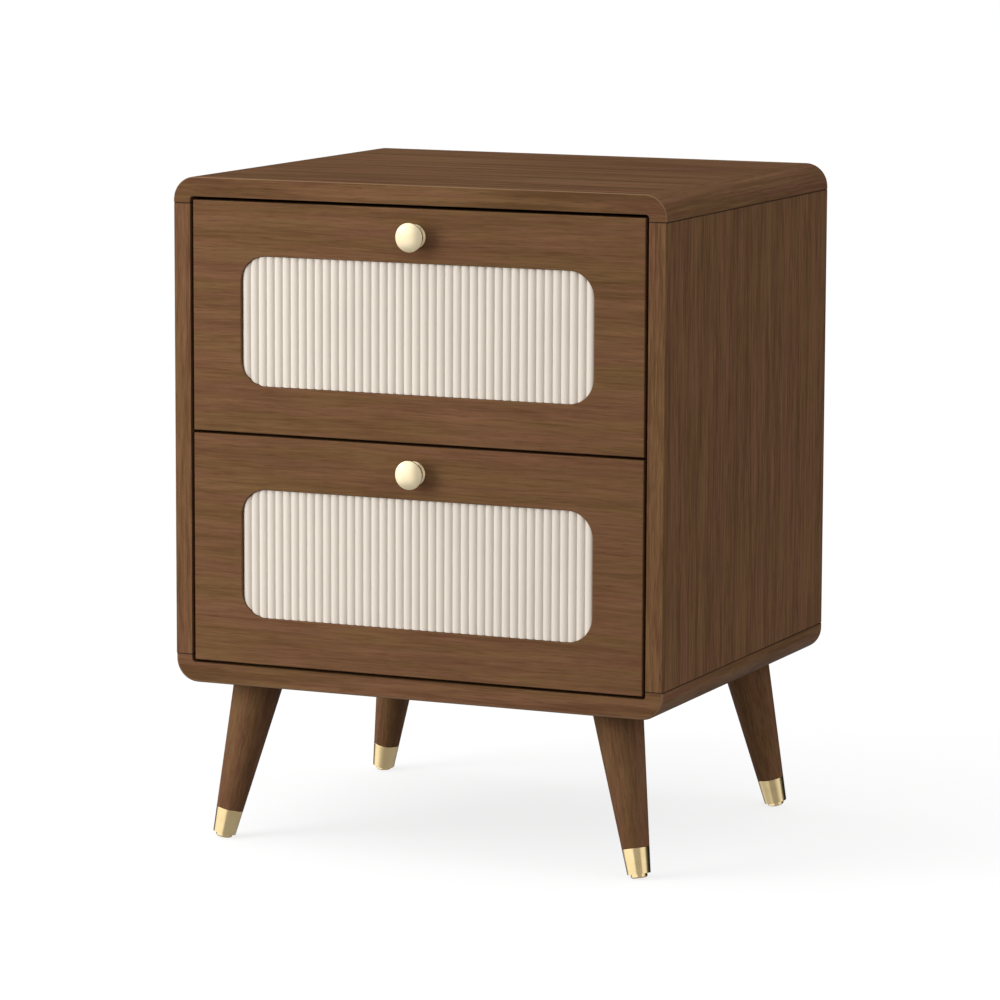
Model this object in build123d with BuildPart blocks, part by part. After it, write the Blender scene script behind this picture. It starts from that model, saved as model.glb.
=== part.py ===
from build123d import *
import math
import os

# Two-drawer nightstand on splayed tapered legs.
# X runs across (left is -X), Y from the front (-Y) to the back, Z up from the floor.
# The origin is on the floor, under the middle of the bounding box.
# "Setback" is a distance behind the case's front face. Left and right are a viewer's,
# standing in front of the drawers. All sizes are in millimetres.

# Case
CASE_WIDTH = 450.0
CASE_DEPTH = 381.0
CASE_HEIGHT = 434.0
CASE_CORNER_RADIUS = 20.0
TOP_THICKNESS = 16.5
BOTTOM_THICKNESS = 17.5
SIDE_THICKNESS = 15.5
OPENING_CORNER_RADIUS = 3.0
TOP_SEAM_DROP = 22.5
BOTTOM_SEAM_RISE = 24.0
TOP_EDGE_RADIUS = 1.0
SIDE_EDGE_RADIUS = 1.5
BOTTOM_EDGE_RADIUS = 2.5
REAR_EDGE_RADIUS = 0.8
SEAM_CHAMFER = 0.5

# Back panel, let into a rebate round the rear of the case
BACK_THICKNESS = 5.0
BACK_REBATE_WIDTH = 8.0
BACK_CLEARANCE = 0.25
BACK_SCREW_INSET = 4.0
BACK_SCREW_LENGTH = 18.0
BACK_SCREW_CORNER_DISTANCE = 35.0

# Rail between the drawers, behind the drawer fronts
RAIL_THICKNESS = 16.0
RAIL_DEPTH = 60.0
RAIL_SETBACK = 20.0
RAIL_DOWEL_IN_SIDE = 10.0

# Dowels and cam fittings that join the case boards
DOWEL_RADIUS = 4.0
DOWEL_LENGTH = 30.0
DOWEL_IN_BOARD = 11.0
DOWEL_EDGE_DISTANCE = 40.0
CAM_EDGE_DISTANCE = 75.0
CAM_SEAM_DISTANCE = 24.0
CAM_RADIUS = 7.4
CAM_DEPTH = 12.0
CAM_BOLT_RADIUS = 3.0
CAM_BOLT_IN_BOARD = 11.0
CAM_BOLT_NECK_RADIUS = 2.4
CAM_BOLT_HEAD_LENGTH = 3.0
CAM_SLOT_RADIUS = 3.5
CAM_SLOT_OVERRUN = 2.5
CAM_DRIVE_LENGTH = 11.8
CAM_DRIVE_WIDTH = 1.6
CAM_DRIVE_DEPTH = 1.5

# Fits
HOLE_CLEARANCE = 0.1
HOLE_END_ROOM = 1.0
PIECE_CLEARANCE = 0.2
END_CHAMFER = 0.8

# Legs: centre line from the underside of the case to the floor
LEG_HEIGHT = 140.0
LEG_TOP_X = 167.0
LEG_TOP_INSET = 44.0
LEG_FOOT_X = 194.6
LEG_FOOT_INSET = 28.0
LEG_TOP_RADIUS = 21.6
LEG_TAPER = 11.8 / 140.0
LEG_BOLT_DEPTH = 32.0

# Ferrules and glides, along the leg's centre line
FERRULE_LENGTH = 22.0
FERRULE_WALL = 1.0
FERRULE_LIP_RADIUS = 0.4
GLIDE_RADIUS = 7.0
GLIDE_THICKNESS = 3.5
GLIDE_EDGE_RADIUS = 1.0
GLIDE_FLAT = 0.8
NAIL_RADIUS = 1.2
NAIL_LENGTH = 16.0

# Leg plates, hanger bolts and their screws
PLATE_SIZE = 50.0
PLATE_THICKNESS = 2.5
PLATE_CORNER_RADIUS = 6.0
PLATE_SCREW_SPACING = 39.0
PLATE_BOSS_RADIUS = 7.0
PLATE_BOSS_HEIGHT = 8.0
HANGER_BOLT_RADIUS = 4.0
PLATE_SCREW_LENGTH = 14.0

# Drawer fronts and their reeded inserts
SIDE_GAP = 3.0
BOTTOM_GAP = 2.5
MIDDLE_GAP = 2.5
FRONT_HEIGHT = 196.0
FRONT_THICKNESS = 18.0
FRONT_EDGE_RADIUS = 0.8
WINDOW_WIDTH = 323.0
WINDOW_HEIGHT = 110.5
WINDOW_CORNER_RADIUS = 23.0
WINDOW_TOP_MARGIN = 45.5
INSERT_CLEARANCE = 0.25
INSERT_FLANGE_WIDTH = 10.0
INSERT_FLANGE_THICKNESS = 8.0
REED_COUNT = 43
REED_RECESS = 1.5
REED_HEIGHT = 1.8

# Knobs
KNOB_DROP = 23.0
KNOB_OUT = 15.0
KNOB_HEAD_RADIUS = 12.25
KNOB_RIM_OUT = 12.0
KNOB_RIM_BACK_OUT = 10.4
KNOB_NECK_RADIUS = 4.8
KNOB_NECK_OUT = 5.8
KNOB_BASE_RADIUS = 10.3
KNOB_BASE_THICKNESS = 2.0
KNOB_BASE_BEVEL = 1.4
KNOB_SHOULDER_RADIUS = 8.4
KNOB_SHOULDER_OUT = 9.3
KNOB_RIM_ROUNDING = 0.7
KNOB_SCREW_RADIUS = 2.0
KNOB_SCREW_IN_KNOB = 8.0

# Drawer boxes
BOX_WALL = 12.0
BOX_HEIGHT = 150.0
BOX_DEPTH = 320.0
BOX_RISE = 14.0
BOX_TOP_EDGE_RADIUS = 1.5
BOX_BOTTOM_THICKNESS = 5.0
GROOVE_RISE = 8.0
GROOVE_DEPTH = 6.0
FRONT_SCREW_X = 178.0
FRONT_SCREW_RISES = (30.0, 120.0)
FRONT_SCREW_IN_FRONT = 13.0

# Telescopic drawer slides
SLIDE_WIDTH = 12.7
SLIDE_LENGTH = 300.0
SLIDE_SETBACK = 22.0
SLIDE_RISE = 60.0
SLIDE_SHEET = 1.2
SLIDE_BEND_RADIUS = 1.4
SLIDE_RUNNING_GAP = 0.4
CASE_MEMBER_HALF_HEIGHT = 17.5
CASE_MEMBER_REACH = 9.5
MIDDLE_MEMBER_START = 3.6
MIDDLE_MEMBER_REACH = 11.0
DRAWER_MEMBER_START = 5.6
SLIDE_SCREW_SETBACKS = (57.0, 287.0)
SLIDE_SCREW_IN_SIDE = 12.0
SLIDE_SCREW_IN_BOX = 9.0

# Screw heads
SCREW_RADIUS = 2.0
PAN_HEAD_RADIUS = 3.6
PAN_HEAD_HEIGHT = 1.6
SUNK_HEAD_RADIUS = 3.8
SUNK_HEAD_ANGLE = 82.0
DRIVE_LENGTH = 3.6
DRIVE_WIDTH = 0.9
DRIVE_DEPTH = 0.9

# Worked out from the above
FRONT_Y = KNOB_OUT - (CASE_DEPTH + KNOB_OUT) / 2
BACK_Y = FRONT_Y + CASE_DEPTH
UNDERSIDE_Z = LEG_HEIGHT
CASE_TOP_Z = UNDERSIDE_Z + CASE_HEIGHT
TOP_SEAM_Z = CASE_TOP_Z - TOP_SEAM_DROP
BOTTOM_SEAM_Z = UNDERSIDE_Z + BOTTOM_SEAM_RISE
OPENING_HALF_WIDTH = CASE_WIDTH / 2 - SIDE_THICKNESS
OPENING_LOW_Z = UNDERSIDE_Z + BOTTOM_THICKNESS
OPENING_HIGH_Z = CASE_TOP_Z - TOP_THICKNESS
SEAM_X = OPENING_HALF_WIDTH + SIDE_THICKNESS / 2
LOWER_FRONT_Z = OPENING_LOW_Z + BOTTOM_GAP
UPPER_FRONT_Z = LOWER_FRONT_Z + FRONT_HEIGHT + MIDDLE_GAP
FRONT_WIDTH = 2 * (OPENING_HALF_WIDTH - SIDE_GAP)
RAIL_MIDDLE_Z = UPPER_FRONT_Z - MIDDLE_GAP / 2
BOX_HALF_WIDTH = OPENING_HALF_WIDTH - SLIDE_WIDTH
MIDDLE_MEMBER_HALF_HEIGHT = CASE_MEMBER_HALF_HEIGHT - SLIDE_SHEET - SLIDE_RUNNING_GAP
DRAWER_MEMBER_HALF_HEIGHT = MIDDLE_MEMBER_HALF_HEIGHT - SLIDE_SHEET - SLIDE_RUNNING_GAP
SUNK_HEAD_HEIGHT = (SUNK_HEAD_RADIUS - SCREW_RADIUS) / math.tan(math.radians(SUNK_HEAD_ANGLE / 2))

SIDES = {"left": -1, "right": 1}
LEVELS = {"lower": LOWER_FRONT_Z, "upper": UPPER_FRONT_Z}
SEAMS = ((TOP_SEAM_Z, 1), (BOTTOM_SEAM_Z, -1))
ON_FACE = (Align.CENTER, Align.CENTER, Align.MIN)
BELOW_FACE = (Align.CENTER, Align.CENTER, Align.MAX)


def save(piece, name):
    """Label a finished piece and write it out."""
    piece.part.label = name
    export_step(piece.part, f"parts/{name}.step")


def front_plane(setback):
    """Plane parallel to the case's front: local x is X, local y is Z, and it faces the viewer."""
    return Plane.XZ.offset(-FRONT_Y - setback)


def facing(x, setback, z, direction):
    """Plane at a point of the case, facing along direction."""
    return Plane(origin=(x, FRONT_Y + setback, z), z_dir=direction)


def on_case_outline(edge):
    """True for an edge that lies on the outside of the case, seen from the front."""
    middle = edge @ 0.5
    on_corner = edge.geom_type == GeomType.CIRCLE and abs(edge.radius - CASE_CORNER_RADIUS) < 0.01
    on_side = abs(middle.X) > CASE_WIDTH / 2 - 0.01
    on_top_or_bottom = abs(middle.Z - UNDERSIDE_Z - CASE_HEIGHT / 2) > CASE_HEIGHT / 2 - 0.01
    return on_corner or on_side or on_top_or_bottom


def on_seam_outline(edge):
    """True for an edge where a board's end at a seam meets the outside or the front of the case."""
    middle = edge @ 0.5
    in_seam = any(abs(middle.Z - seam_z) < 0.01 for seam_z, _ in SEAMS)
    is_level = abs((edge @ 0).Z - (edge @ 1).Z) < 0.01
    on_outside = abs(middle.X) > CASE_WIDTH / 2 - SIDE_EDGE_RADIUS
    on_front = middle.Y < FRONT_Y + SIDE_EDGE_RADIUS
    return in_seam and is_level and (on_outside or on_front)


def drive_recess(places):
    """Cross recess in each screw head."""
    with Locations(*places):
        Box(DRIVE_LENGTH, DRIVE_WIDTH, DRIVE_DEPTH, align=BELOW_FACE, mode=Mode.SUBTRACT)
        Box(DRIVE_WIDTH, DRIVE_LENGTH, DRIVE_DEPTH, align=BELOW_FACE, mode=Mode.SUBTRACT)


def pan_screws(name, seats, length):
    """Pan-head screws: a seat is the plane under the head, facing out of the work."""
    with BuildPart() as screws:
        with Locations(*seats):
            Cylinder(PAN_HEAD_RADIUS, PAN_HEAD_HEIGHT, align=ON_FACE)
            Cylinder(SCREW_RADIUS, length, align=BELOW_FACE)
        drive_recess([seat.offset(PAN_HEAD_HEIGHT) for seat in seats])
    save(screws, name)


def sunk_screws(name, seats, length):
    """Countersunk screws, their heads flush with the seats."""
    with BuildPart() as screws:
        with Locations(*seats):
            Cylinder(SCREW_RADIUS, length, align=BELOW_FACE)
            Cone(SCREW_RADIUS, SUNK_HEAD_RADIUS, SUNK_HEAD_HEIGHT, align=BELOW_FACE)
        drive_recess(seats)
    save(screws, name)


# Fixing points. Each is a plane on the surface that the hole goes into.

def seam_faces(edge_distance, faces_board):
    """Points along the four seams, on the board's face or on the side panel's end."""
    planes = []
    for seam_z, outward in SEAMS:
        normal = -outward if faces_board else outward
        for side in SIDES.values():
            for setback in (edge_distance, CASE_DEPTH - edge_distance):
                planes.append(facing(side * SEAM_X, setback, seam_z, (0, 0, normal)))
    return planes


def rail_dowel_faces(side):
    """Points on a side panel's inner face where the rail is dowelled to it."""
    setbacks = (RAIL_SETBACK + RAIL_DEPTH / 4, RAIL_SETBACK + 3 * RAIL_DEPTH / 4)
    return [facing(side * OPENING_HALF_WIDTH, setback, RAIL_MIDDLE_Z, (-side, 0, 0)) for setback in setbacks]


def cam_faces(side):
    """Points on a side panel's inner face where the cams sit, with the way to their seam."""
    planes = []
    for seam_z, outward in SEAMS:
        for setback in (CAM_EDGE_DISTANCE, CASE_DEPTH - CAM_EDGE_DISTANCE):
            z = seam_z - outward * CAM_SEAM_DISTANCE
            planes.append((facing(side * OPENING_HALF_WIDTH, setback, z, (-side, 0, 0)), outward))
    return planes


def back_screw_faces():
    """Points round the back panel, over the floor of its rebate."""
    x = OPENING_HALF_WIDTH + BACK_REBATE_WIDTH - BACK_SCREW_INSET
    low = OPENING_LOW_Z - BACK_REBATE_WIDTH + BACK_SCREW_INSET
    high = OPENING_HIGH_Z + BACK_REBATE_WIDTH - BACK_SCREW_INSET
    middle = (low + high) / 2
    reach = (high - low) / 2 - BACK_SCREW_CORNER_DISTANCE
    points = [(side * x, middle + step * reach) for side in SIDES.values() for step in (-1, 0, 1)]
    points += [(step * (x - BACK_SCREW_CORNER_DISTANCE), z) for z in (low, high) for step in (-1, 0, 1)]
    return [facing(px, CASE_DEPTH, pz, (0, 1, 0)) for px, pz in points]


def slide_screw_faces(level_z, side, on_box):
    """Points where a slide is screwed to the side panel, or to the drawer box."""
    z = level_z + BOX_RISE + SLIDE_RISE
    x = BOX_HALF_WIDTH if on_box else OPENING_HALF_WIDTH
    normal = side if on_box else -side
    return [facing(side * x, setback, z, (normal, 0, 0)) for setback in SLIDE_SCREW_SETBACKS]


def front_screw_faces(level_z, setback, normal):
    """Points where the box front is screwed to the drawer front."""
    points = [(side * FRONT_SCREW_X, rise) for side in SIDES.values() for rise in FRONT_SCREW_RISES]
    return [facing(x, setback, level_z + BOX_RISE + rise, (0, normal, 0)) for x, rise in points]


def drill(planes, shank_radius, length):
    """A hole into each plane for a shank of this radius and length, with room round and past it."""
    with Locations(*planes):
        Hole(shank_radius + HOLE_CLEARANCE, length + HOLE_END_ROOM)


# Case boards. The four are cut from one rounded ring, parted at the seams.

def case_board(centre_x, width, low_z, high_z, edge_radius):
    """The piece of the ring inside one rectangle, rebated for the back panel."""
    with BuildPart() as board:
        with BuildSketch(front_plane(0)):
            with Locations((0, UNDERSIDE_Z + CASE_HEIGHT / 2)):
                RectangleRounded(CASE_WIDTH, CASE_HEIGHT, CASE_CORNER_RADIUS)
            with Locations((0, (OPENING_LOW_Z + OPENING_HIGH_Z) / 2)):
                RectangleRounded(2 * OPENING_HALF_WIDTH, OPENING_HIGH_Z - OPENING_LOW_Z,
                                 OPENING_CORNER_RADIUS, mode=Mode.SUBTRACT)
            with Locations((centre_x, (low_z + high_z) / 2)):
                Rectangle(width, high_z - low_z, mode=Mode.INTERSECT)
        extrude(amount=-CASE_DEPTH)
        fillet(board.faces().sort_by(Axis.Y)[0].edges().filter_by(on_case_outline), edge_radius)
        fillet(board.faces().sort_by(Axis.Y)[-1].edges().filter_by(on_case_outline), REAR_EDGE_RADIUS)
        chamfer(board.edges().filter_by(on_seam_outline), SEAM_CHAMFER)
        with BuildSketch(front_plane(CASE_DEPTH)):
            with Locations((0, (OPENING_LOW_Z + OPENING_HIGH_Z) / 2)):
                Rectangle(2 * (OPENING_HALF_WIDTH + BACK_REBATE_WIDTH),
                          OPENING_HIGH_Z - OPENING_LOW_Z + 2 * BACK_REBATE_WIDTH)
        extrude(amount=BACK_THICKNESS, mode=Mode.SUBTRACT)
        rebate_floor = [face.offset(-BACK_THICKNESS) for face in back_screw_faces()]
        drill(rebate_floor, SCREW_RADIUS, BACK_SCREW_LENGTH - BACK_THICKNESS)
    return board


def horizontal_board(name, low_z, high_z, edge_radius):
    board = case_board(0, CASE_WIDTH, low_z, high_z, edge_radius)
    with board:
        drill(seam_faces(DOWEL_EDGE_DISTANCE, True), DOWEL_RADIUS, DOWEL_IN_BOARD)
        drill(seam_faces(CAM_EDGE_DISTANCE, True), CAM_BOLT_RADIUS, CAM_BOLT_IN_BOARD)
        if low_z == UNDERSIDE_Z:
            underside = [face.offset(-PLATE_THICKNESS) for face in plate_screw_faces()]
            drill(underside, SCREW_RADIUS, PLATE_SCREW_LENGTH - PLATE_THICKNESS)
            drill(leg_plate_planes(), PLATE_BOSS_RADIUS, PLATE_BOSS_HEIGHT)
    save(board, name)


def side_panel(name, side):
    centre_x = side * (CASE_WIDTH / 2 - SIDE_THICKNESS)
    board = case_board(centre_x, 2 * SIDE_THICKNESS, BOTTOM_SEAM_Z, TOP_SEAM_Z, SIDE_EDGE_RADIUS)
    with board:
        drill(seam_faces(DOWEL_EDGE_DISTANCE, False), DOWEL_RADIUS, DOWEL_LENGTH - DOWEL_IN_BOARD)
        drill(seam_faces(CAM_EDGE_DISTANCE, False), CAM_SLOT_RADIUS, CAM_SEAM_DISTANCE)
        drill([face for face, _ in cam_faces(side)], CAM_RADIUS, CAM_DEPTH)
        drill(rail_dowel_faces(side), DOWEL_RADIUS, RAIL_DOWEL_IN_SIDE)
        for level_z in LEVELS.values():
            drill(slide_screw_faces(level_z, side, False), SCREW_RADIUS, SLIDE_SCREW_IN_SIDE)
    save(board, name)


def back_panel():
    with BuildPart() as panel:
        with BuildSketch(front_plane(CASE_DEPTH)):
            with Locations((0, (OPENING_LOW_Z + OPENING_HIGH_Z) / 2)):
                Rectangle(2 * (OPENING_HALF_WIDTH + BACK_REBATE_WIDTH - BACK_CLEARANCE),
                          OPENING_HIGH_Z - OPENING_LOW_Z + 2 * (BACK_REBATE_WIDTH - BACK_CLEARANCE))
        extrude(amount=BACK_THICKNESS)
        with Locations(*back_screw_faces()):
            CounterSinkHole(SCREW_RADIUS + HOLE_CLEARANCE, SUNK_HEAD_RADIUS + HOLE_CLEARANCE,
                            BACK_THICKNESS + HOLE_END_ROOM, SUNK_HEAD_ANGLE)
    save(panel, "back_panel")


def mid_rail():
    with BuildPart() as rail:
        with BuildSketch(front_plane(RAIL_SETBACK)):
            with Locations((0, RAIL_MIDDLE_Z)):
                Rectangle(2 * OPENING_HALF_WIDTH, RAIL_THICKNESS)
        extrude(amount=-RAIL_DEPTH)
        for side in SIDES.values():
            ends = [Plane(face.origin, z_dir=-face.z_dir) for face in rail_dowel_faces(side)]
            drill(ends, DOWEL_RADIUS, DOWEL_LENGTH - RAIL_DOWEL_IN_SIDE)
    save(rail, "mid_rail")


def case_dowels():
    with BuildPart() as dowels:
        with Locations(*[face.offset(DOWEL_LENGTH - DOWEL_IN_BOARD)
                         for face in seam_faces(DOWEL_EDGE_DISTANCE, True)]):
            Cylinder(DOWEL_RADIUS, DOWEL_LENGTH, align=BELOW_FACE)
        for side in SIDES.values():
            with Locations(*[face.offset(DOWEL_LENGTH - RAIL_DOWEL_IN_SIDE)
                             for face in rail_dowel_faces(side)]):
                Cylinder(DOWEL_RADIUS, DOWEL_LENGTH, align=BELOW_FACE)
        chamfer(dowels.edges().filter_by(GeomType.CIRCLE), END_CHAMFER)
    save(dowels, "case_dowels")


def cam_locks():
    """Cam discs, each with a slot that takes the bolt's head and a driver slot in its face."""
    with BuildPart() as cams:
        for side in SIDES.values():
            for face, _ in cam_faces(side):
                with Locations(face):
                    Cylinder(CAM_RADIUS, CAM_DEPTH, align=BELOW_FACE)
        for side in SIDES.values():
            for face, outward in cam_faces(side):
                bolt_line = face.origin + Vector(side * SIDE_THICKNESS / 2, 0, 0)
                bolt_end = bolt_line - Vector(0, 0, outward * CAM_SLOT_OVERRUN)
                with Locations(Plane(bolt_end, z_dir=(0, 0, outward))):
                    Cylinder(CAM_SLOT_RADIUS, 2 * CAM_RADIUS, align=ON_FACE, mode=Mode.SUBTRACT)
                with Locations(face):
                    Box(CAM_DRIVE_LENGTH, CAM_DRIVE_WIDTH, CAM_DRIVE_DEPTH, align=BELOW_FACE,
                        mode=Mode.SUBTRACT)
                    Box(CAM_DRIVE_WIDTH, CAM_DRIVE_LENGTH, CAM_DRIVE_DEPTH, align=BELOW_FACE,
                        mode=Mode.SUBTRACT)
    save(cams, "cam_locks")


def cam_bolts():
    neck = CAM_SEAM_DISTANCE + CAM_SLOT_OVERRUN - CAM_BOLT_HEAD_LENGTH - PIECE_CLEARANCE
    with BuildPart() as bolts:
        for face in seam_faces(CAM_EDGE_DISTANCE, True):
            with Locations(face):
                Cylinder(CAM_BOLT_RADIUS, CAM_BOLT_IN_BOARD, align=BELOW_FACE)
                Cylinder(CAM_BOLT_NECK_RADIUS, neck, align=ON_FACE)
            with Locations(face.offset(neck)):
                Cylinder(CAM_BOLT_RADIUS, CAM_BOLT_HEAD_LENGTH, align=ON_FACE)
    save(bolts, "cam_bolts")


# Legs, ferrules and glides, turned about each leg's own centre line.

def leg_ends(side, is_front):
    """The centre line's ends, at the underside of the case and on the floor."""
    top_setback = LEG_TOP_INSET if is_front else CASE_DEPTH - LEG_TOP_INSET
    foot_setback = LEG_FOOT_INSET if is_front else CASE_DEPTH - LEG_FOOT_INSET
    top = Vector(side * LEG_TOP_X, FRONT_Y + top_setback, UNDERSIDE_Z)
    foot = Vector(side * LEG_FOOT_X, FRONT_Y + foot_setback, 0)
    return top, foot


def leg_corners():
    return {f"{depth}_{width}": (side, depth == "front")
            for depth in ("front", "rear") for width, side in SIDES.items()}


def leg_plate_planes():
    """Planes on the underside of the case, facing the floor, at the middle of each leg plate."""
    planes = []
    for side, is_front in leg_corners().values():
        top, _ = leg_ends(side, is_front)
        planes.append(Plane(top, z_dir=(0, 0, -1)))
    return planes


def turned(top, foot, outline):
    """Revolve a closed outline of (distance down the centre line, radius) points about it."""
    down = (foot - top).normalized()
    plane = Plane(top, x_dir=down, z_dir=down.cross(Vector(0, 0, 1)).normalized())
    with BuildPart() as piece:
        with BuildSketch(plane):
            with BuildLine():
                Polyline(*outline, close=True)
            make_face()
        revolve(axis=Axis(top, down))
    return piece


def leg_radius(distance):
    return LEG_TOP_RADIUS - LEG_TAPER * distance


def foot_distances(top, foot):
    """Distances down the centre line to the ferrule's mouth, its base and the glide's sole."""
    length = (foot - top).length
    slope = math.acos(UNDERSIDE_Z / length)
    sole = length - (GLIDE_RADIUS * math.sin(slope) - GLIDE_FLAT) / math.cos(slope)
    base = sole - GLIDE_THICKNESS
    return base - FERRULE_LENGTH, base, sole


def leg(name, side, is_front):
    top, foot = leg_ends(side, is_front)
    mouth, base, _ = foot_distances(top, foot)
    spigot_end = base - FERRULE_WALL
    spigot_fit = FERRULE_WALL + HOLE_CLEARANCE
    start = -LEG_TOP_RADIUS
    outline = [(start, 0), (start, leg_radius(start)), (mouth, leg_radius(mouth)),
               (mouth, leg_radius(mouth) - spigot_fit), (spigot_end, leg_radius(spigot_end) - spigot_fit),
               (spigot_end, 0)]
    piece = turned(top, foot, outline)
    with piece:
        split(bisect_by=Plane.XY.offset(UNDERSIDE_Z - PLATE_THICKNESS), keep=Keep.BOTTOM)
        drill([Plane((top.X, top.Y, UNDERSIDE_Z - PLATE_THICKNESS))], HANGER_BOLT_RADIUS, LEG_BOLT_DEPTH)
        spigot_face = Plane(top + (foot - top).normalized() * spigot_end, z_dir=(foot - top))
        drill([spigot_face], NAIL_RADIUS, NAIL_LENGTH)
    save(piece, name)


def ferrule(name, side, is_front):
    top, foot = leg_ends(side, is_front)
    mouth, base, _ = foot_distances(top, foot)
    floor_of_cup = base - FERRULE_WALL
    nail_hole = NAIL_RADIUS + HOLE_CLEARANCE
    outline = [(mouth, leg_radius(mouth) - FERRULE_WALL), (mouth, leg_radius(mouth)),
               (base, leg_radius(base)), (base, nail_hole), (floor_of_cup, nail_hole),
               (floor_of_cup, leg_radius(floor_of_cup) - FERRULE_WALL)]
    piece = turned(top, foot, outline)
    with piece:
        rims = piece.edges().filter_by(GeomType.CIRCLE).sort_by(lambda edge: edge.radius)[-2:]
        fillet(rims, FERRULE_LIP_RADIUS)
    save(piece, name)


def foot_glides():
    """Nail-on glides, with the lowest edge of each sole dressed level with the floor."""
    with BuildPart() as glides:
        for side, is_front in leg_corners().values():
            top, foot = leg_ends(side, is_front)
            _, base, sole = foot_distances(top, foot)
            outline = [(base - NAIL_LENGTH, 0), (base - NAIL_LENGTH + 2 * NAIL_RADIUS, NAIL_RADIUS),
                       (base, NAIL_RADIUS), (base, GLIDE_RADIUS), (sole - GLIDE_EDGE_RADIUS, GLIDE_RADIUS),
                       (sole, GLIDE_RADIUS - GLIDE_EDGE_RADIUS), (sole, 0)]
            add(turned(top, foot, outline).part)
        split(bisect_by=Plane.XY, keep=Keep.TOP)
    save(glides, "foot_glides")


def leg_plate(name, plane):
    with BuildPart() as plate:
        with BuildSketch(plane):
            RectangleRounded(PLATE_SIZE, PLATE_SIZE, PLATE_CORNER_RADIUS)
        extrude(amount=PLATE_THICKNESS)
        with BuildSketch(plane):
            Circle(PLATE_BOSS_RADIUS)
        extrude(amount=-PLATE_BOSS_HEIGHT)
        with BuildSketch(plane.offset(PLATE_THICKNESS)):
            Circle(HANGER_BOLT_RADIUS + HOLE_CLEARANCE)
        extrude(amount=-PLATE_THICKNESS - PLATE_BOSS_HEIGHT, mode=Mode.SUBTRACT)
        with Locations(plane.offset(PLATE_THICKNESS)):
            with GridLocations(PLATE_SCREW_SPACING, PLATE_SCREW_SPACING, 2, 2):
                CounterSinkHole(SCREW_RADIUS + HOLE_CLEARANCE, SUNK_HEAD_RADIUS + HOLE_CLEARANCE,
                                PLATE_THICKNESS + HOLE_END_ROOM, SUNK_HEAD_ANGLE)
    save(plate, name)


def hanger_bolts():
    with BuildPart() as bolts:
        with Locations(*[plane.offset(-PLATE_BOSS_HEIGHT) for plane in leg_plate_planes()]):
            Cylinder(HANGER_BOLT_RADIUS, PLATE_BOSS_HEIGHT + PLATE_THICKNESS + LEG_BOLT_DEPTH, align=ON_FACE)
        chamfer(bolts.edges().filter_by(GeomType.CIRCLE), END_CHAMFER)
    save(bolts, "hanger_bolts")


def plate_screw_faces():
    """Countersinks in the undersides of the leg plates."""
    planes = []
    half = PLATE_SCREW_SPACING / 2
    for plane in leg_plate_planes():
        for shift_x in (-half, half):
            for shift_y in (-half, half):
                centre = plane.origin + Vector(shift_x, shift_y, -PLATE_THICKNESS)
                planes.append(Plane(centre, z_dir=(0, 0, -1)))
    return planes


# Drawer slides: three channels of sheet steel, one inside the other.

def channel(side, level_z, web, mouth, half_height):
    """A channel along Y. Web and mouth are measured inwards from the side panel's inner face."""
    half_sheet = SLIDE_SHEET / 2
    towards_mouth = math.copysign(half_sheet, mouth - web)
    web_x = side * (OPENING_HALF_WIDTH - web - towards_mouth)
    mouth_x = side * (OPENING_HALF_WIDTH - mouth)
    middle_z = level_z + BOX_RISE + SLIDE_RISE
    high = middle_z + half_height - half_sheet
    low = middle_z - half_height + half_sheet
    with BuildPart() as member:
        with BuildSketch(front_plane(SLIDE_SETBACK)):
            with BuildLine():
                FilletPolyline((mouth_x, high), (web_x, high), (web_x, low), (mouth_x, low),
                               radius=SLIDE_BEND_RADIUS)
            trace(line_width=SLIDE_SHEET)
        extrude(amount=-SLIDE_LENGTH)
    return member


def slide(level, side_name):
    """One slide: the member on the side panel, the middle one, and the one on the drawer box."""
    level_z = LEVELS[level]
    side = SIDES[side_name]
    prefix = f"{level}_{side_name}_slide"
    case_member = channel(side, level_z, 0, CASE_MEMBER_REACH, CASE_MEMBER_HALF_HEIGHT)
    with case_member:
        drill(slide_screw_faces(level_z, side, False), SCREW_RADIUS, SLIDE_SHEET)
    save(case_member, f"{prefix}_case_member")
    middle_member = channel(side, level_z, MIDDLE_MEMBER_START, MIDDLE_MEMBER_REACH,
                            MIDDLE_MEMBER_HALF_HEIGHT)
    save(middle_member, f"{prefix}_middle_member")
    drawer_member = channel(side, level_z, SLIDE_WIDTH, DRAWER_MEMBER_START, DRAWER_MEMBER_HALF_HEIGHT)
    with drawer_member:
        drill(slide_screw_faces(level_z, side, True), SCREW_RADIUS, SLIDE_SHEET)
    save(drawer_member, f"{prefix}_drawer_member")


# Drawers

def window(plane, level_z, grow):
    """Rounded window outline on a plane, larger all round by grow."""
    centre_z = level_z + FRONT_HEIGHT - WINDOW_TOP_MARGIN - WINDOW_HEIGHT / 2
    with BuildSketch(plane) as outline:
        with Locations((0, centre_z)):
            RectangleRounded(WINDOW_WIDTH + 2 * grow, WINDOW_HEIGHT + 2 * grow, WINDOW_CORNER_RADIUS + grow)
    return outline.sketch


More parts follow.
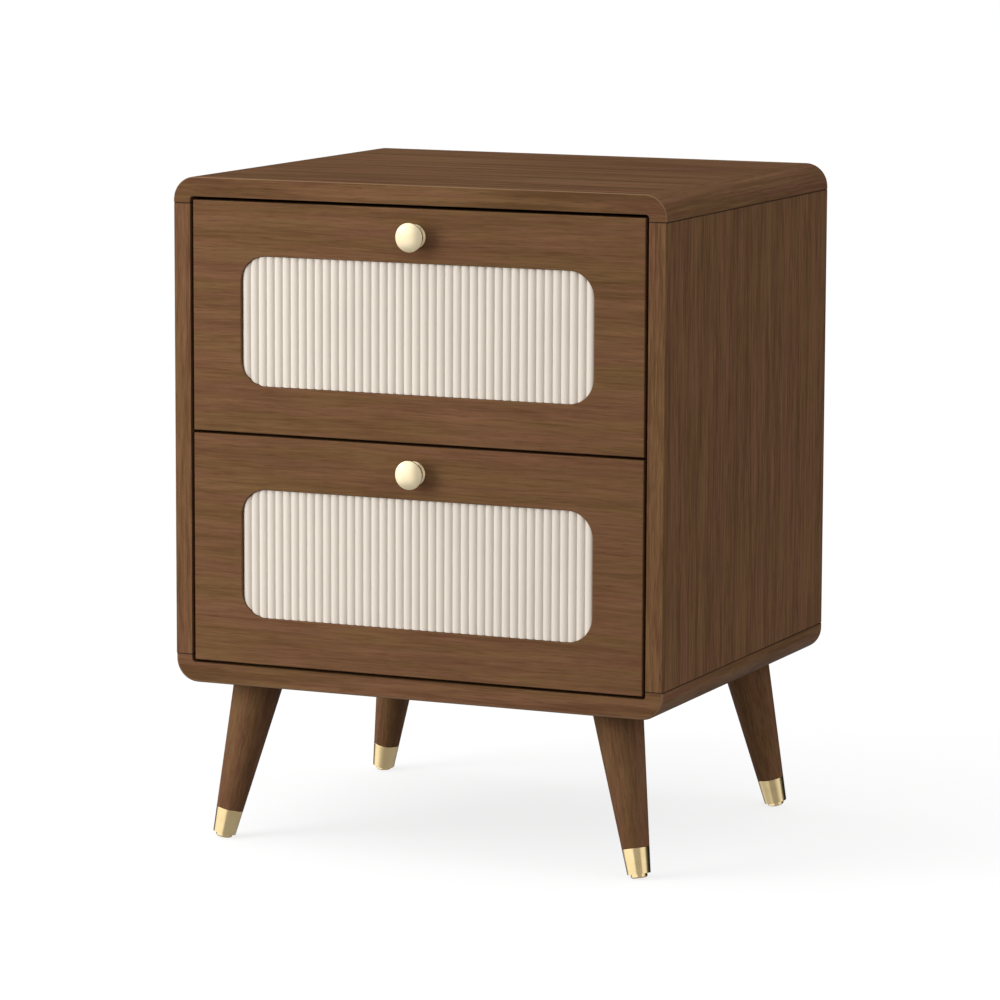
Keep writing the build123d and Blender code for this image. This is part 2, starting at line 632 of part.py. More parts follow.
def drawer_front(level, level_z):
    knob_z = level_z + FRONT_HEIGHT - KNOB_DROP
    with BuildPart() as front:
        with BuildSketch(front_plane(0)):
            with Locations((0, level_z + FRONT_HEIGHT / 2)):
                Rectangle(FRONT_WIDTH, FRONT_HEIGHT)
        extrude(amount=-FRONT_THICKNESS)
        extrude(window(front_plane(0), level_z, 0), amount=-FRONT_THICKNESS, mode=Mode.SUBTRACT)
        fillet(front.faces().sort_by(Axis.Y)[0].edges(), FRONT_EDGE_RADIUS)
        extrude(window(front_plane(FRONT_THICKNESS), level_z, INSERT_FLANGE_WIDTH),
                amount=INSERT_FLANGE_THICKNESS, mode=Mode.SUBTRACT)
        drill([facing(0, 0, knob_z, (0, -1, 0))], KNOB_SCREW_RADIUS, FRONT_THICKNESS)
        drill(front_screw_faces(level_z, FRONT_THICKNESS, 1), SCREW_RADIUS, FRONT_SCREW_IN_FRONT)
    save(front, f"{level}_drawer_front")


def fluted_insert(level, level_z):
    """Reeded panel: the reeds fill the window and a flange sits in the rebate behind it."""
    half_width = WINDOW_WIDTH / 2 - INSERT_CLEARANCE
    pitch = 2 * half_width / REED_COUNT
    groove_y = FRONT_Y + REED_RECESS + REED_HEIGHT
    crest_y = FRONT_Y + REED_RECESS
    back_y = FRONT_Y + FRONT_THICKNESS - INSERT_FLANGE_THICKNESS
    window_low_z = level_z + FRONT_HEIGHT - WINDOW_TOP_MARGIN - WINDOW_HEIGHT
    with BuildPart() as insert:
        with BuildSketch(Plane.XY.offset(window_low_z)):
            with BuildLine():
                for reed in range(REED_COUNT):
                    x = -half_width + reed * pitch
                    ThreePointArc((x, groove_y), (x + pitch / 2, crest_y), (x + pitch, groove_y))
                Polyline((-half_width, groove_y), (-half_width, back_y), (half_width, back_y),
                         (half_width, groove_y))
            make_face()
        extrude(amount=WINDOW_HEIGHT)
        extrude(window(front_plane(0), level_z, -INSERT_CLEARANCE), amount=-FRONT_THICKNESS,
                mode=Mode.INTERSECT)
        extrude(window(front_plane(FRONT_THICKNESS), level_z, INSERT_FLANGE_WIDTH - INSERT_CLEARANCE),
                amount=INSERT_FLANGE_THICKNESS)
    save(insert, f"{level}_fluted_insert")


def knob(level, level_z):
    """Turned knob: a base, a waisted neck and a low-domed head, threaded from behind."""
    knob_z = level_z + FRONT_HEIGHT - KNOB_DROP
    dome_height = KNOB_OUT - KNOB_RIM_OUT
    dome_radius = (KNOB_HEAD_RADIUS ** 2 + dome_height ** 2) / (2 * dome_height)
    half_head = KNOB_HEAD_RADIUS / 2
    dome_middle_out = KNOB_OUT - dome_radius + math.sqrt(dome_radius ** 2 - half_head ** 2)
    base_top = (KNOB_BASE_RADIUS - KNOB_BASE_BEVEL, KNOB_BASE_THICKNESS)
    shoulder = (KNOB_SHOULDER_RADIUS, KNOB_SHOULDER_OUT)
    with BuildPart() as piece:
        with BuildSketch(Plane((0, FRONT_Y, knob_z), x_dir=(1, 0, 0), z_dir=(0, 0, -1))) as profile:
            with BuildLine():
                Polyline((0, 0), (KNOB_BASE_RADIUS, 0), (KNOB_BASE_RADIUS, KNOB_BASE_THICKNESS / 2),
                         base_top)
                ThreePointArc(base_top, (KNOB_NECK_RADIUS, KNOB_NECK_OUT), shoulder)
                Polyline(shoulder, (KNOB_HEAD_RADIUS, KNOB_RIM_BACK_OUT), (KNOB_HEAD_RADIUS, KNOB_RIM_OUT))
                ThreePointArc((KNOB_HEAD_RADIUS, KNOB_RIM_OUT), (half_head, dome_middle_out), (0, KNOB_OUT))
                Line((0, KNOB_OUT), (0, 0))
            make_face()
            rim = profile.vertices().group_by(Axis.X)[-1]
            fillet(rim, KNOB_RIM_ROUNDING)
        revolve(axis=Axis((0, FRONT_Y, knob_z), (0, 1, 0)))
        drill([facing(0, 0, knob_z, (0, 1, 0))], KNOB_SCREW_RADIUS, KNOB_SCREW_IN_KNOB)
    save(piece, f"{level}_knob")


def knob_screw(level, level_z):
    seat = facing(0, FRONT_THICKNESS, level_z + FRONT_HEIGHT - KNOB_DROP, (0, 1, 0))
    pan_screws(f"{level}_knob_screw", [seat], FRONT_THICKNESS + KNOB_SCREW_IN_KNOB)


def box_panel(low, high, groove):
    """A wall of the drawer box, with the groove that holds the drawer's bottom cut into it."""
    with BuildPart() as panel:
        with BuildSketch(Plane.XY.offset(low.Z)):
            with Locations(((low.X + high.X) / 2, (low.Y + high.Y) / 2)):
                Rectangle(high.X - low.X, high.Y - low.Y)
        extrude(amount=high.Z - low.Z)
        longest = Axis.X if high.X - low.X > high.Y - low.Y else Axis.Y
        fillet(panel.faces().sort_by(Axis.Z)[-1].edges().filter_by(longest), BOX_TOP_EDGE_RADIUS)
        groove_low, groove_high = groove
        with BuildSketch(Plane.XY.offset(groove_low.Z)):
            with Locations(((groove_low.X + groove_high.X) / 2, (groove_low.Y + groove_high.Y) / 2)):
                Rectangle(groove_high.X - groove_low.X, groove_high.Y - groove_low.Y)
        extrude(amount=groove_high.Z - groove_low.Z, mode=Mode.SUBTRACT)
    return panel


def drawer_box(level, level_z):
    """Four walls and a bottom let into grooves in them."""
    low_z = level_z + BOX_RISE
    high_z = low_z + BOX_HEIGHT
    outer_x = BOX_HALF_WIDTH
    inner_x = BOX_HALF_WIDTH - BOX_WALL
    front_y = FRONT_Y + FRONT_THICKNESS
    inner_front_y = front_y + BOX_WALL
    back_y = front_y + BOX_DEPTH
    inner_back_y = back_y - BOX_WALL
    groove_low_z = low_z + GROOVE_RISE
    groove = (Vector(-inner_x - GROOVE_DEPTH, inner_front_y - GROOVE_DEPTH, groove_low_z),
              Vector(inner_x + GROOVE_DEPTH, inner_back_y + GROOVE_DEPTH,
                     groove_low_z + BOX_BOTTOM_THICKNESS + PIECE_CLEARANCE))

    for side_name, side in SIDES.items():
        low_x, high_x = sorted((side * inner_x, side * outer_x))
        wall = box_panel(Vector(low_x, front_y, low_z), Vector(high_x, back_y, high_z), groove)
        with wall:
            drill(slide_screw_faces(level_z, side, True), SCREW_RADIUS, SLIDE_SCREW_IN_BOX)
        save(wall, f"{level}_box_{side_name}_side")

    wall = box_panel(Vector(-inner_x, front_y, low_z), Vector(inner_x, inner_front_y, high_z), groove)
    with wall:
        drill(front_screw_faces(level_z, FRONT_THICKNESS + BOX_WALL, 1), SCREW_RADIUS, BOX_WALL)
    save(wall, f"{level}_box_front")
    wall = box_panel(Vector(-inner_x, inner_back_y, low_z), Vector(inner_x, back_y, high_z), groove)
    save(wall, f"{level}_box_back")

    size = groove[1] - groove[0]
    with BuildPart() as bottom:
        with BuildSketch(Plane.XY.offset(groove_low_z + PIECE_CLEARANCE / 2)):
            with Locations((0, (groove[0].Y + groove[1].Y) / 2)):
                Rectangle(size.X - 2 * PIECE_CLEARANCE, size.Y - 2 * PIECE_CLEARANCE)
        extrude(amount=BOX_BOTTOM_THICKNESS)
    save(bottom, f"{level}_box_bottom")


os.makedirs("parts", exist_ok=True)

horizontal_board("top_board", TOP_SEAM_Z, CASE_TOP_Z, TOP_EDGE_RADIUS)
horizontal_board("bottom_board", UNDERSIDE_Z, BOTTOM_SEAM_Z, BOTTOM_EDGE_RADIUS)
for side_name, side in SIDES.items():
    side_panel(f"{side_name}_side_panel", side)
back_panel()
mid_rail()
case_dowels()
cam_locks()
cam_bolts()
sunk_screws("back_panel_screws", back_screw_faces(), BACK_SCREW_LENGTH)

for (corner, (side, is_front)), plate_plane in zip(leg_corners().items(), leg_plate_planes()):
    leg(f"{corner}_leg", side, is_front)
    ferrule(f"{corner}_ferrule", side, is_front)
    leg_plate(f"{corner}_leg_plate", plate_plane)
foot_glides()
hanger_bolts()
sunk_screws("plate_screws", plate_screw_faces(), PLATE_SCREW_LENGTH)

case_screw_seats = []
for level, level_z in LEVELS.items():
    box_screw_seats = []
    for side_name, side in SIDES.items():
        slide(level, side_name)
        case_screw_seats += [face.offset(SLIDE_SHEET) for face in slide_screw_faces(level_z, side, False)]
        box_screw_seats += [face.offset(SLIDE_SHEET) for face in slide_screw_faces(level_z, side, True)]
    pan_screws(f"{level}_slide_screws", box_screw_seats, SLIDE_SHEET + SLIDE_SCREW_IN_BOX)
    drawer_front(level, level_z)
    fluted_insert(level, level_z)
    knob(level, level_z)
    knob_screw(level, level_z)
    drawer_box(level, level_z)
    inner_face = FRONT_THICKNESS + BOX_WALL
    pan_screws(f"{level}_front_screws", front_screw_faces(level_z, inner_face, 1),
               BOX_WALL + FRONT_SCREW_IN_FRONT)
pan_screws("slide_case_screws", case_screw_seats, SLIDE_SHEET + SLIDE_SCREW_IN_SIDE)
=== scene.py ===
"""A walnut nightstand with two drawers: its finishes, light and camera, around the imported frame."""

from math import cos, pi, radians, sin

import bmesh
import bpy
from mathutils import Euler, Matrix, Vector


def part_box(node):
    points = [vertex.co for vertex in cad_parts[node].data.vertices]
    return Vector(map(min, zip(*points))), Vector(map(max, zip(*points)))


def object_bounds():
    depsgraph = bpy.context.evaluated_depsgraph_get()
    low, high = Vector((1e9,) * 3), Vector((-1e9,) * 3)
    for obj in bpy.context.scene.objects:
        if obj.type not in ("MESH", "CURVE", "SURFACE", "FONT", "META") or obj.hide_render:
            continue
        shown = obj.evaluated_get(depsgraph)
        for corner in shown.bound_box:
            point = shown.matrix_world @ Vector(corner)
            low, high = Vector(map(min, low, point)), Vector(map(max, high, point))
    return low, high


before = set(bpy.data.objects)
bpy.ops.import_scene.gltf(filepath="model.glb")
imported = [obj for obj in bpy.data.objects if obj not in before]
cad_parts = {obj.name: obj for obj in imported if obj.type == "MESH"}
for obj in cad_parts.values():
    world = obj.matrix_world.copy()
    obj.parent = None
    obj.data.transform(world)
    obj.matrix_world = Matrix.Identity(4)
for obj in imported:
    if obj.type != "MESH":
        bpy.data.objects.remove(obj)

MM = 0.001
X, Y, Z = range(3)
WHITE = (1.0, 1.0, 1.0)
CAD_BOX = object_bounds()
FRONT_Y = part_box("top_board")[0].y
CASE_LOW_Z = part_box("bottom_board")[0].z
CASE_MIDDLE = Vector((0.0, FRONT_Y, (CASE_LOW_Z + CAD_BOX[1][2]) / 2))

# Camera: it stands in front of the nightstand, to its right, and looks a little down.
# Its place is counted from the floor under the middle of the case front.
CAMERA_FROM_FRONT = (1.65609, -3.58407, 0.88709)
CAMERA_TURN = 0.4147
CAMERA_PITCH = 0.1449
CAMERA_ROLL = 0.0040
CAMERA_LENS = 171.87
SENSOR = 36.0

# Light. A direction is (azimuth, elevation) in degrees: azimuth 0 is straight in front of the
# nightstand, and it grows towards the viewer's right.
KEY_DIRECTION = (-47, 12)
KEY_DISTANCE = 2.2
KEY_SIZE = (1.2, 1.6)
KEY_POWER = 46.0
# The soft lamps: name, direction, the angle that each fills, and its strength.
SOFT_LAMPS = (
    ("top_lamp", (-68, 62), 55, 1.0),
    ("fill_lamp", (72, 15), 90, 1.30),
    ("back_lamp", (180, 35), 90, 0.5),
)
ROOM_GREY = 0.60
ROOM_WHITE = 1.0
FLOOR_GLOW = 0.765
FLOOR_ALBEDO = 0.22
FLOOR_REACH = 60.0

# What shiny faces see round them: (azimuths, elevations, brightness), each laid over the last.
STUDIO_DARK = 0.16
STUDIO_EDGE = 5
STUDIO = (
    ((-180, 180), (-90, -18), 0.42),  # the floor
    ((-100, 2), (-30, 60), 1.35),  # the key lamp's diffuser
    ((-90, -38), (4, 50), 2.10),  # its brighter part
    ((8, 54), (-18, 40), 0.52),  # the wall behind the camera
    ((58, 108), (-14, 45), 1.20),  # the fill strip
    ((125, 180), (-18, 52), 0.02),  # the dark end behind the nightstand
    ((-180, -125), (-18, 52), 0.02),
    ((-180, 180), (60, 90), 0.60),  # the ceiling
)

# Case sizes that the grain follows: the boards' rounded ends start this far inside their sides.
ROUND_END = 20.0 * MM
END_BLEND = 12.0 * MM

# The side panels end at the seams with the boards: stain has gathered there, and the joint's shade is
# painted there too.
SEAM_HEIGHTS = [point.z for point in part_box("left_side_panel")]
SEAM_HALF_WIDTH = 0.6 * MM
SEAM_EDGE = 0.2 * MM

# How deep the bumps in wood and paint are.
BUMP_DEPTH = 0.05 * MM


# --- Node graphs ---------------------------------------------------------------------------------


class Graph:
    """The nodes of a material or a world. Each method adds a node and returns its output socket."""

    def __init__(self, owner):
        owner.use_nodes = True
        self.owner = owner
        self.nodes = owner.node_tree.nodes
        self.links = owner.node_tree.links

    def put(self, value, socket):
        """Links a socket to another, or sets it to a plain number, point or colour."""
        if isinstance(value, bpy.types.NodeSocket):
            self.links.new(value, socket)
        elif socket.type == "RGBA":
            socket.default_value = (*value, 1.0)
        else:
            socket.default_value = value

    def place(self):
        """Where a point is on the object, in the row frame, carried along as its body moves."""
        return self.nodes.new("ShaderNodeTexCoord").outputs["Object"]

    def normal(self):
        return self.nodes.new("ShaderNodeNewGeometry").outputs["Normal"]

    def split(self, vector):
        node = self.nodes.new("ShaderNodeSeparateXYZ")
        self.put(vector, node.inputs[0])
        return node.outputs[0], node.outputs[1], node.outputs[2]

    def join(self, x, y, z):
        node = self.nodes.new("ShaderNodeCombineXYZ")
        for value, socket in zip((x, y, z), node.inputs):
            self.put(value, socket)
        return node.outputs[0]

    def math(self, operation, first, second=0.0, third=0.0):
        node = self.nodes.new("ShaderNodeMath")
        node.operation = operation
        for value, socket in zip((first, second, third), node.inputs):
            self.put(value, socket)
        return node.outputs[0]

    def vector_math(self, operation, first, second):
        node = self.nodes.new("ShaderNodeVectorMath")
        node.operation = operation
        self.put(first, node.inputs[0])
        self.put(second, node.inputs[1])
        return node.outputs[0]

    def noise(self, vector, detail=2.0, roughness=0.5):
        """Smooth noise from 0 to 1, one lump to each unit of the vector."""
        node = self.nodes.new("ShaderNodeTexNoise")
        self.put(vector, node.inputs["Vector"])
        node.inputs["Scale"].default_value = 1.0
        node.inputs["Detail"].default_value = detail
        node.inputs["Roughness"].default_value = roughness
        return node.outputs["Fac"]

    def step(self, value, low, high):
        """0 below low, 1 above high, smooth between."""
        node = self.nodes.new("ShaderNodeMapRange")
        node.interpolation_type = "SMOOTHSTEP"
        self.put(value, node.inputs["Value"])
        node.inputs["From Min"].default_value = low
        node.inputs["From Max"].default_value = high
        return node.outputs["Result"]

    def band(self, value, low, high, edge):
        """1 from low to high and 0 outside, with edges that are soft over edge each way."""
        rise = self.step(value, low - edge, low + edge)
        fall = self.step(value, high + edge, high - edge)
        return self.math("MULTIPLY", rise, fall)

    def scale(self, value, low, high):
        """Takes 0 to 1 to low to high."""
        return self.math("MULTIPLY_ADD", value, high - low, low)

    def mix(self, share, first, second):
        """A blend of two colours."""
        node = self.nodes.new("ShaderNodeMix")
        node.data_type = "RGBA"
        self.put(share, node.inputs["Factor"])
        self.put(first, node.inputs[6])
        self.put(second, node.inputs[7])
        return node.outputs[2]

    def blend(self, share, first, second):
        """A blend of two numbers."""
        node = self.nodes.new("ShaderNodeMix")
        node.data_type = "FLOAT"
        self.put(share, node.inputs["Factor"])
        self.put(first, node.inputs[2])
        self.put(second, node.inputs[3])
        return node.outputs[0]

    def bump(self, height, depth):
        """A bumped normal: depth is what a height of 1 stands for, in metres."""
        node = self.nodes.new("ShaderNodeBump")
        node.inputs["Distance"].default_value = depth
        self.put(height, node.inputs["Height"])
        return node.outputs["Normal"]

    def finish(self, colour, roughness, normal=None, **settings):
        """Sets a material's shader sockets by their names, with _ for a space, and returns it."""
        shader = self.nodes["Principled BSDF"]
        self.put(colour, shader.inputs["Base Color"])
        self.put(roughness, shader.inputs["Roughness"])
        if normal is not None:
            self.put(normal, shader.inputs["Normal"])
        for name, value in settings.items():
            self.put(value, shader.inputs[name.replace("_", " ")])
        return self.owner


def material_graph(name):
    return Graph(bpy.data.materials.new(name))


# --- Wood ----------------------------------------------------------------------------------------

WALNUT_DARK = (0.094, 0.0440, 0.0197)
WALNUT_LIGHT = (0.170, 0.0870, 0.0410)
WALNUT_OLIVE = (0.97, 1.02, 0.92)
WALNUT_RED = (1.03, 0.97, 1.06)
WALNUT_PORE = (0.045, 0.0200, 0.0090)
# Painted highlight: the lighter colour laid on the rounded board edges.
WALNUT_EDGE_HIGHLIGHT = (0.260, 0.1560, 0.0900)
# The seam colour: stain in the joints, with painted shade.
WALNUT_SEAM_STAIN_AND_SHADE = (0.020, 0.0100, 0.0060)
PORE_DEPTH = 0.35
# How strongly the painted edge highlight is mixed in.
EDGE_HIGHLIGHT_DEPTH = 0.55
# How strongly the seam colour, stain with painted shade, is mixed in.
SEAM_STAIN_AND_SHADE_DEPTH = 0.75
WALNUT_SHINE = 0.06
SWAY = 6.0 * MM

# How much the broad bands, the streaks and the fine fibres count in each piece's tone.
FRONT_FIGURE = (0.26, 0.36, 0.38)
SIDE_FIGURE = (0.34, 0.72, 0.62)
BOARD_FIGURE = (0.90, 0.50, 0.35)
TURNED_END_FIGURE = (0.70, 0.45, 0.35)
LEG_FIGURE = (0.40, 0.46, 0.44)

# How far each leg's figure is moved along the grain, in metres: by its side, and by its end.
LEG_SHIFT_BY_SIDE = 0.7
LEG_SHIFT_BY_END = 1.7


def stretched(g, grain, length, width):
    """The grain point in units of length along the grain and width across it, both in metres."""
    return g.vector_math("MULTIPLY", grain, (1 / length, 1 / width, 1 / width))


def figure(g, along, across, through, weights):
    """A straight-grained walnut figure. It gives the tone, the redness and the pores, each 0 to 1."""
    raw = g.join(along, across, through)
    sway = g.noise(stretched(g, raw, 0.14, 0.050), 1.0)
    across = g.math("MULTIPLY_ADD", sway, SWAY, across)
    grain = g.join(along, across, through)
    bands = g.noise(stretched(g, grain, 0.26, 0.013), 2.0)
    streaks = g.noise(stretched(g, grain, 0.080, 0.0032), 3.0, 0.6)
    fibres = g.noise(stretched(g, grain, 0.026, 0.0012), 2.0, 0.6)
    tone = 0.5 - 0.5 * sum(weights)
    for weight, layer in zip(weights, (bands, streaks, fibres)):
        tone = g.math("MULTIPLY_ADD", layer, weight, tone)
    red = g.noise(stretched(g, grain, 0.11, 0.011), 2.0)
    specks = g.noise(stretched(g, grain, 0.018, 0.0006), 1.0)
    pores = g.step(specks, 0.60, 0.72)
    return tone, red, pores


def painted_edge_highlight(g):
    """1 on the small roundings at the front and back edges, where a highlight is painted in a lighter
    colour.
    """
    facing = g.math("ABSOLUTE", g.split(g.normal())[1])
    return g.band(facing, 0.35, 0.96, 0.02)


def seam_stain_and_shade(g):
    """1 in a thin line along the seams between the side panels and the boards, for their stain and painted
    shade.
    """
    z = g.split(g.place())[2]
    lines = [g.band(z, seam - SEAM_HALF_WIDTH, seam + SEAM_HALF_WIDTH, SEAM_EDGE) for seam in SEAM_HEIGHTS]
    return g.math("ADD", *lines)


def walnut(g, fields, gloss, edge_highlight=0.0, stained=0.0):
    """The lacquered walnut made from a figure's fields. gloss is the lacquer's mean roughness."""
    tone, red, pores = fields
    share = g.step(tone, 0.28, 0.72)
    colour = g.mix(share, WALNUT_DARK, WALNUT_LIGHT)
    tint = g.mix(g.step(red, 0.32, 0.68), WALNUT_OLIVE, WALNUT_RED)
    colour = g.vector_math("MULTIPLY", colour, tint)
    colour = g.mix(g.math("MULTIPLY", pores, PORE_DEPTH), colour, WALNUT_PORE)
    # Painted highlight on the rounded edges: a lighter colour where the edge mask is 1.
    colour = g.mix(g.math("MULTIPLY", edge_highlight, EDGE_HIGHLIGHT_DEPTH), colour, WALNUT_EDGE_HIGHLIGHT)
    # Seam lines: stain in the joints, with painted shade where the joint's shadow falls.
    colour = g.mix(g.math("MULTIPLY", stained, SEAM_STAIN_AND_SHADE_DEPTH), colour, WALNUT_SEAM_STAIN_AND_SHADE)
    rough = g.scale(share, gloss + 0.05, gloss - 0.05)
    rough = g.math("MULTIPLY_ADD", pores, 0.12, rough)
    relief = g.math("MULTIPLY_ADD", pores, -0.8, tone)
    return g.finish(colour, rough, g.bump(relief, BUMP_DEPTH), Specular_IOR_Level=WALNUT_SHINE)


def walnut_fronts():
    """The drawer fronts: the grain runs across them."""
    g = material_graph("walnut_fronts_lacquered")
    x, y, z = g.split(g.place())
    return walnut(g, figure(g, x, z, y, FRONT_FIGURE), 0.52)


def walnut_sides():
    """The side panels: the grain runs up them."""
    g = material_graph("walnut_sides_lacquered")
    x, y, z = g.split(g.place())
    # The side panels get the seams' stain with painted shade.
    return walnut(g, figure(g, z, y, x, SIDE_FIGURE), 0.52, stained=seam_stain_and_shade(g))


def walnut_boards():
    """The top and bottom boards: the grain runs across, but front to back round their turned ends."""
    g = material_graph("walnut_boards_lacquered")
    x, y, z = g.split(g.place())
    girth = g.math("SUBTRACT", g.math("ABSOLUTE", x), z)
    ends = g.math("SUBTRACT", CAD_BOX[1][0] - ROUND_END, g.math("ABSOLUTE", x))
    share = g.step(ends, END_BLEND, -END_BLEND)
    facing = g.math("ABSOLUTE", g.split(g.normal())[1])
    share = g.math("MULTIPLY", share, g.step(facing, 0.8, 0.5))
    across = figure(g, x, y, z, BOARD_FIGURE)
    around = figure(g, y, girth, x, TURNED_END_FIGURE)
    fields = [g.blend(share, a, b) for a, b in zip(across, around)]
    # The boards get a painted highlight on their rounded edges, and the seams' stain with painted shade.
    return walnut(g, fields, 0.50, painted_edge_highlight(g), seam_stain_and_shade(g))


def walnut_legs():
    """The grain follows each leg, which leans out by the same amounts on both sides, front and back."""
    top_low, top_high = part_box("front_right_leg_plate")
    tip_low, tip_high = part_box("front_right_ferrule")
    lean = ((tip_low + tip_high) - (top_low + top_high)) / 2
    middle = (CAD_BOX[0][1] + CAD_BOX[1][1]) / 2
    g = material_graph("walnut_legs_lacquered")
    x, y, z = g.split(g.place())
    y = g.math("SUBTRACT", y, middle)
    side = g.math("SIGN", x)
    end = g.math("SIGN", y)
    across = g.math("MULTIPLY_ADD", z, -lean.x / lean.z, g.math("ABSOLUTE", x))
    through = g.math("MULTIPLY_ADD", z, lean.y / lean.z, g.math("ABSOLUTE", y))
    along = g.math("MULTIPLY_ADD", side, LEG_SHIFT_BY_SIDE, z)
    along = g.math("MULTIPLY_ADD", end, LEG_SHIFT_BY_END, along)
    return walnut(g, figure(g, along, across, through, LEG_FIGURE), 0.50)


def plain_grain(g, along):
    """Straight grain along the axis X, Y or Z: its tone and its fibres, each 0 to 1."""
    axes = g.split(g.place())
    grain = g.join(axes[along], axes[(along + 1) % 3], axes[(along + 2) % 3])
    streaks = g.noise(stretched(g, grain, 0.14, 0.007), 3.0)
    fibres = g.noise(stretched(g, grain, 0.020, 0.0009), 2.0)
    tone = g.math("MULTIPLY_ADD", fibres, 0.35, g.math("MULTIPLY", streaks, 0.65))
    return tone, fibres


def pale_wood(name, dark, light, along, rough, along_sides=None):
    """Plain wood with long soft streaks and a fine fleck.

    along is the axis of the grain, X, Y or Z. The faces that look along X can have another axis.
    """
    g = material_graph(name)
    tone, fibres = plain_grain(g, along)
    if along_sides is not None:
        sideways = g.step(g.math("ABSOLUTE", g.split(g.normal())[0]), 0.65, 0.75)
        side_tone, side_fibres = plain_grain(g, along_sides)
        tone = g.blend(sideways, tone, side_tone)
        fibres = g.blend(sideways, fibres, side_fibres)
    colour = g.mix(g.step(tone, 0.32, 0.68), dark, light)
    return g.finish(colour, g.scale(fibres, rough - 0.06, rough + 0.06), g.bump(tone, BUMP_DEPTH))


# --- Lacquer and metals --------------------------------------------------------------------------


def cream_lacquer():
    """Sprayed satin lacquer on the milled reeds, with the faintest orange peel and clouding."""
    g = material_graph("cream_satin_lacquer")
    place = g.place()
    peel = g.noise(stretched(g, place, 0.0016, 0.0016), 1.0)
    cloud = g.noise(stretched(g, place, 0.05, 0.05), 2.0)
    colour = g.mix(cloud, (0.62, 0.558, 0.485), (0.66, 0.594, 0.516))
    return g.finish(colour, g.scale(peel, 0.40, 0.50), g.bump(peel, 0.02 * MM), Specular_IOR_Level=0.4)


def satin_metal(name, dark, light, rough, brush, grit):
    """Metal with fine tool lines. brush is their size along x, y and z, grit the spread of roughness."""
    g = material_graph(name)
    place = g.place()
    lines = g.noise(g.vector_math("MULTIPLY", place, [1 / size for size in brush]), 2.0)
    cloud = g.noise(stretched(g, place, 0.012, 0.012), 2.0)
    colour = g.mix(g.step(cloud, 0.3, 0.7), dark, light)
    roughness = g.scale(lines, rough - grit, rough + grit)
    return g.finish(colour, roughness, g.bump(lines, 0.002 * MM), Metallic=1.0)


def powder_coat():
    """The black coat of the leg plates, with a fine even grain."""
    g = material_graph("black_powder_coat")
    grain = g.noise(stretched(g, g.place(), 0.0007, 0.0007), 2.0)
    colour = g.mix(grain, (0.012, 0.012, 0.013), (0.030, 0.030, 0.031))
    return g.finish(colour, g.scale(grain, 0.45, 0.62), g.bump(grain, BUMP_DEPTH))


# --- Stage ---------------------------------------------------------------------------------------


def make_floor():
    """A floor whose shadows stay pale: the camera sees it glow, which lights nothing else."""
    mesh = bpy.data.meshes.new("studio_floor")
    form = bmesh.new()
    bmesh.ops.create_circle(form, cap_ends=True, segments=64, radius=FLOOR_REACH)
    form.to_mesh(mesh)
    form.free()
    floor = bpy.data.objects.new("studio_floor", mesh)
    floor.visible_glossy = False
    bpy.context.scene.collection.objects.link(floor)
    g = material_graph("studio_white")
    shade = g.noise(g.place(), 1.0)
    colour = g.mix(shade, [FLOOR_ALBEDO * 0.99] * 3, [FLOOR_ALBEDO * 1.01] * 3)
    ray = g.nodes.new("ShaderNodeLightPath")
    glow = g.math("MULTIPLY", ray.outputs["Is Camera Ray"], FLOOR_GLOW)
    settings = {"Emission_Color": WHITE, "Emission_Strength": glow, "Specular_IOR_Level": 0.0}
    mesh.materials.append(g.finish(colour, 0.9, **settings))


def make_room():
    """The room is grey for diffuse light, white behind the nightstand, and a studio in reflections."""
    world = bpy.data.worlds.new("studio_room")
    bpy.context.scene.world = world
    g = Graph(world)
    towards = g.nodes.new("ShaderNodeTexCoord").outputs["Generated"]
    x, y, z = g.split(towards)
    turn = g.math("ARCTAN2", x, g.math("MULTIPLY", y, -1.0))
    azimuth = g.math("MULTIPLY", turn, 180 / pi)
    elevation = g.math("MULTIPLY", g.math("ARCSINE", z), 180 / pi)
    seen = STUDIO_DARK
    for azimuths, elevations, brightness in STUDIO:
        inside = g.band(elevation, *elevations, STUDIO_EDGE)
        if azimuths != (-180, 180):
            inside = g.math("MULTIPLY", inside, g.band(azimuth, *azimuths, STUDIO_EDGE))
        seen = g.blend(inside, seen, brightness)
    ray = g.nodes.new("ShaderNodeLightPath")
    light = g.blend(ray.outputs["Is Glossy Ray"], ROOM_GREY, seen)
    light = g.blend(ray.outputs["Is Camera Ray"], light, ROOM_WHITE)
    background = g.nodes["Background"]
    g.put(WHITE, background.inputs["Color"])
    g.put(light, background.inputs["Strength"])


def direction(azimuth, elevation):
    """The unit vector towards that azimuth and elevation, in degrees."""
    turn = radians(azimuth)
    rise = radians(elevation)
    return Vector((sin(turn) * cos(rise), -cos(turn) * cos(rise), sin(rise)))


def make_lamp(name, kind, energy, towards, distance=1.0):
    """A lamp that shines on the case front from that direction. The camera doesn't see it."""
    data = bpy.data.lights.new(name, kind)
    data.energy = energy
    lamp = bpy.data.objects.new(name, data)
    lamp.location = CASE_MIDDLE + towards * distance
    lamp.rotation_euler = towards.to_track_quat("Z", "Y").to_euler()
    lamp.visible_camera = False
    lamp.visible_glossy = False
    bpy.context.scene.collection.objects.link(lamp)
    return data


def make_lamps():
    key = make_lamp("key_lamp", "AREA", KEY_POWER, direction(*KEY_DIRECTION), KEY_DISTANCE)
    key.shape = "RECTANGLE"
    key.size, key.size_y = KEY_SIZE
    for name, towards, angle, strength in SOFT_LAMPS:
        lamp = make_lamp(name, "SUN", strength, direction(*towards))
        lamp.angle = radians(angle)


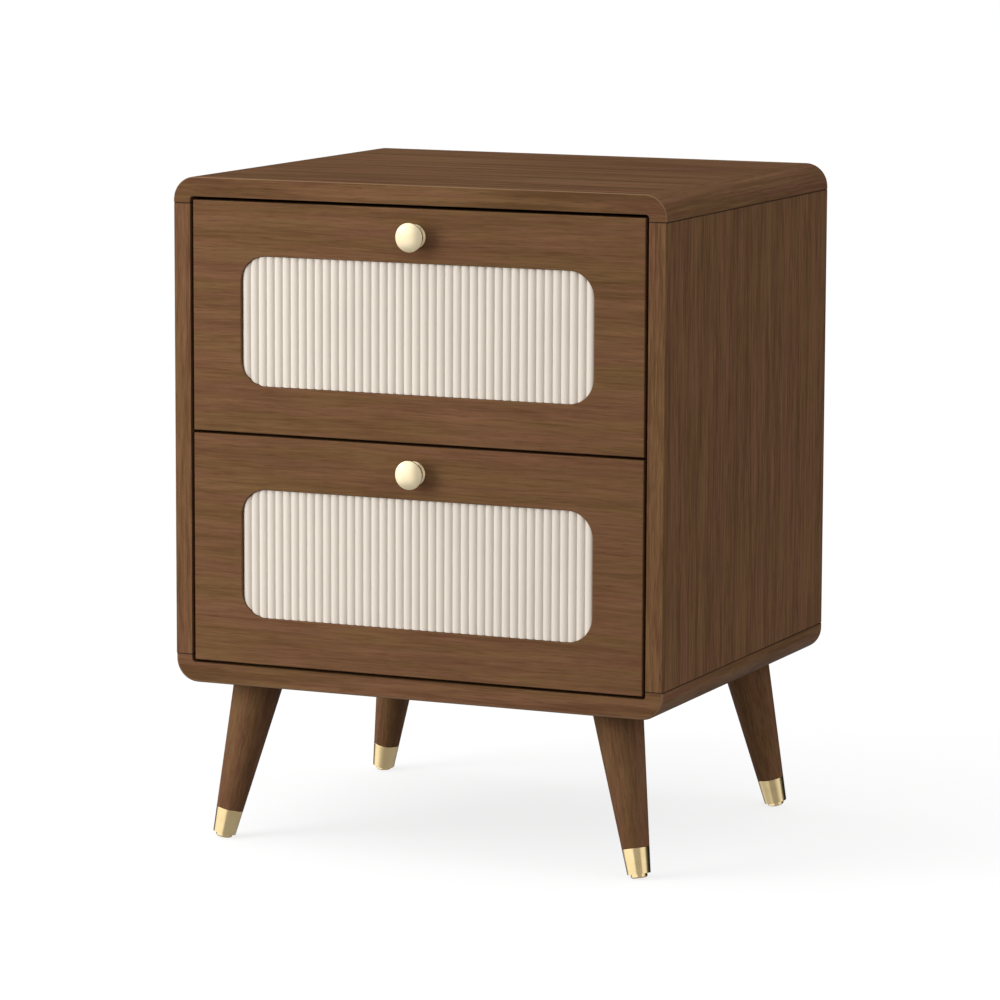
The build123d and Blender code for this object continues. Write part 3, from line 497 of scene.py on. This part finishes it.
def make_camera():
    data = bpy.data.cameras.new("camera")
    data.lens = CAMERA_LENS
    data.sensor_width = SENSOR
    camera = bpy.data.objects.new("camera", data)
    turn = Euler((pi / 2 - CAMERA_PITCH, 0.0, CAMERA_TURN)).to_matrix().to_4x4()
    roll = Matrix.Rotation(CAMERA_ROLL, 4, "Z")
    place = Vector((0.0, FRONT_Y, 0.0)) + Vector(CAMERA_FROM_FRONT)
    camera.matrix_world = Matrix.Translation(place) @ turn @ roll
    bpy.context.scene.collection.objects.link(camera)
    bpy.context.scene.camera = camera


# --- Build ---------------------------------------------------------------------------------------


def dress_nodes():
    """Gives every node the finish of its slot in the record."""
    finishes = {
        "walnut_boards": walnut_boards(),
        "walnut_sides": walnut_sides(),
        "walnut_fronts": walnut_fronts(),
        "walnut_legs": walnut_legs(),
        "rail_wood": pale_wood("walnut_rail_stained", (0.070, 0.032, 0.015), (0.150, 0.078, 0.040), X, 0.55),
        "cream_lacquer": cream_lacquer(),
        "knob_gold": satin_metal(
            "champagne_gold", (0.88, 0.74, 0.48), (0.93, 0.80, 0.55), 0.40, (0.0006, 0.0006, 0.0006), 0.03
        ),
        "ferrule_brass": satin_metal(
            "brushed_brass", (0.74, 0.565, 0.295), (0.80, 0.625, 0.345), 0.24, (0.006, 0.006, 0.0003), 0.05
        ),
        "box_board": pale_wood("birch_plywood", (0.50, 0.36, 0.21), (0.68, 0.53, 0.35), X, 0.50, Y),
        "back_board": pale_wood("walnut_hardboard", (0.075, 0.036, 0.018), (0.140, 0.075, 0.040), Z, 0.60),
        "dowel_beech": pale_wood("beech", (0.52, 0.36, 0.21), (0.68, 0.50, 0.32), X, 0.65),
        "zinc_steel": satin_metal(
            "zinc_plate", (0.58, 0.60, 0.62), (0.68, 0.69, 0.68), 0.32, (0.0010, 0.0010, 0.0004), 0.08
        ),
        "slide_steel": satin_metal(
            "rolled_steel", (0.55, 0.56, 0.57), (0.64, 0.65, 0.66), 0.36, (0.0005, 0.030, 0.0005), 0.08
        ),
        "plate_steel": powder_coat(),
    }
    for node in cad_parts.values():
        for holder in node.material_slots:
            holder.material = finishes[holder.material.name.split(".")[0]]


make_camera()
make_floor()
make_room()
make_lamps()
dress_nodes()
bpy.context.scene.view_settings.view_transform = "Standard"
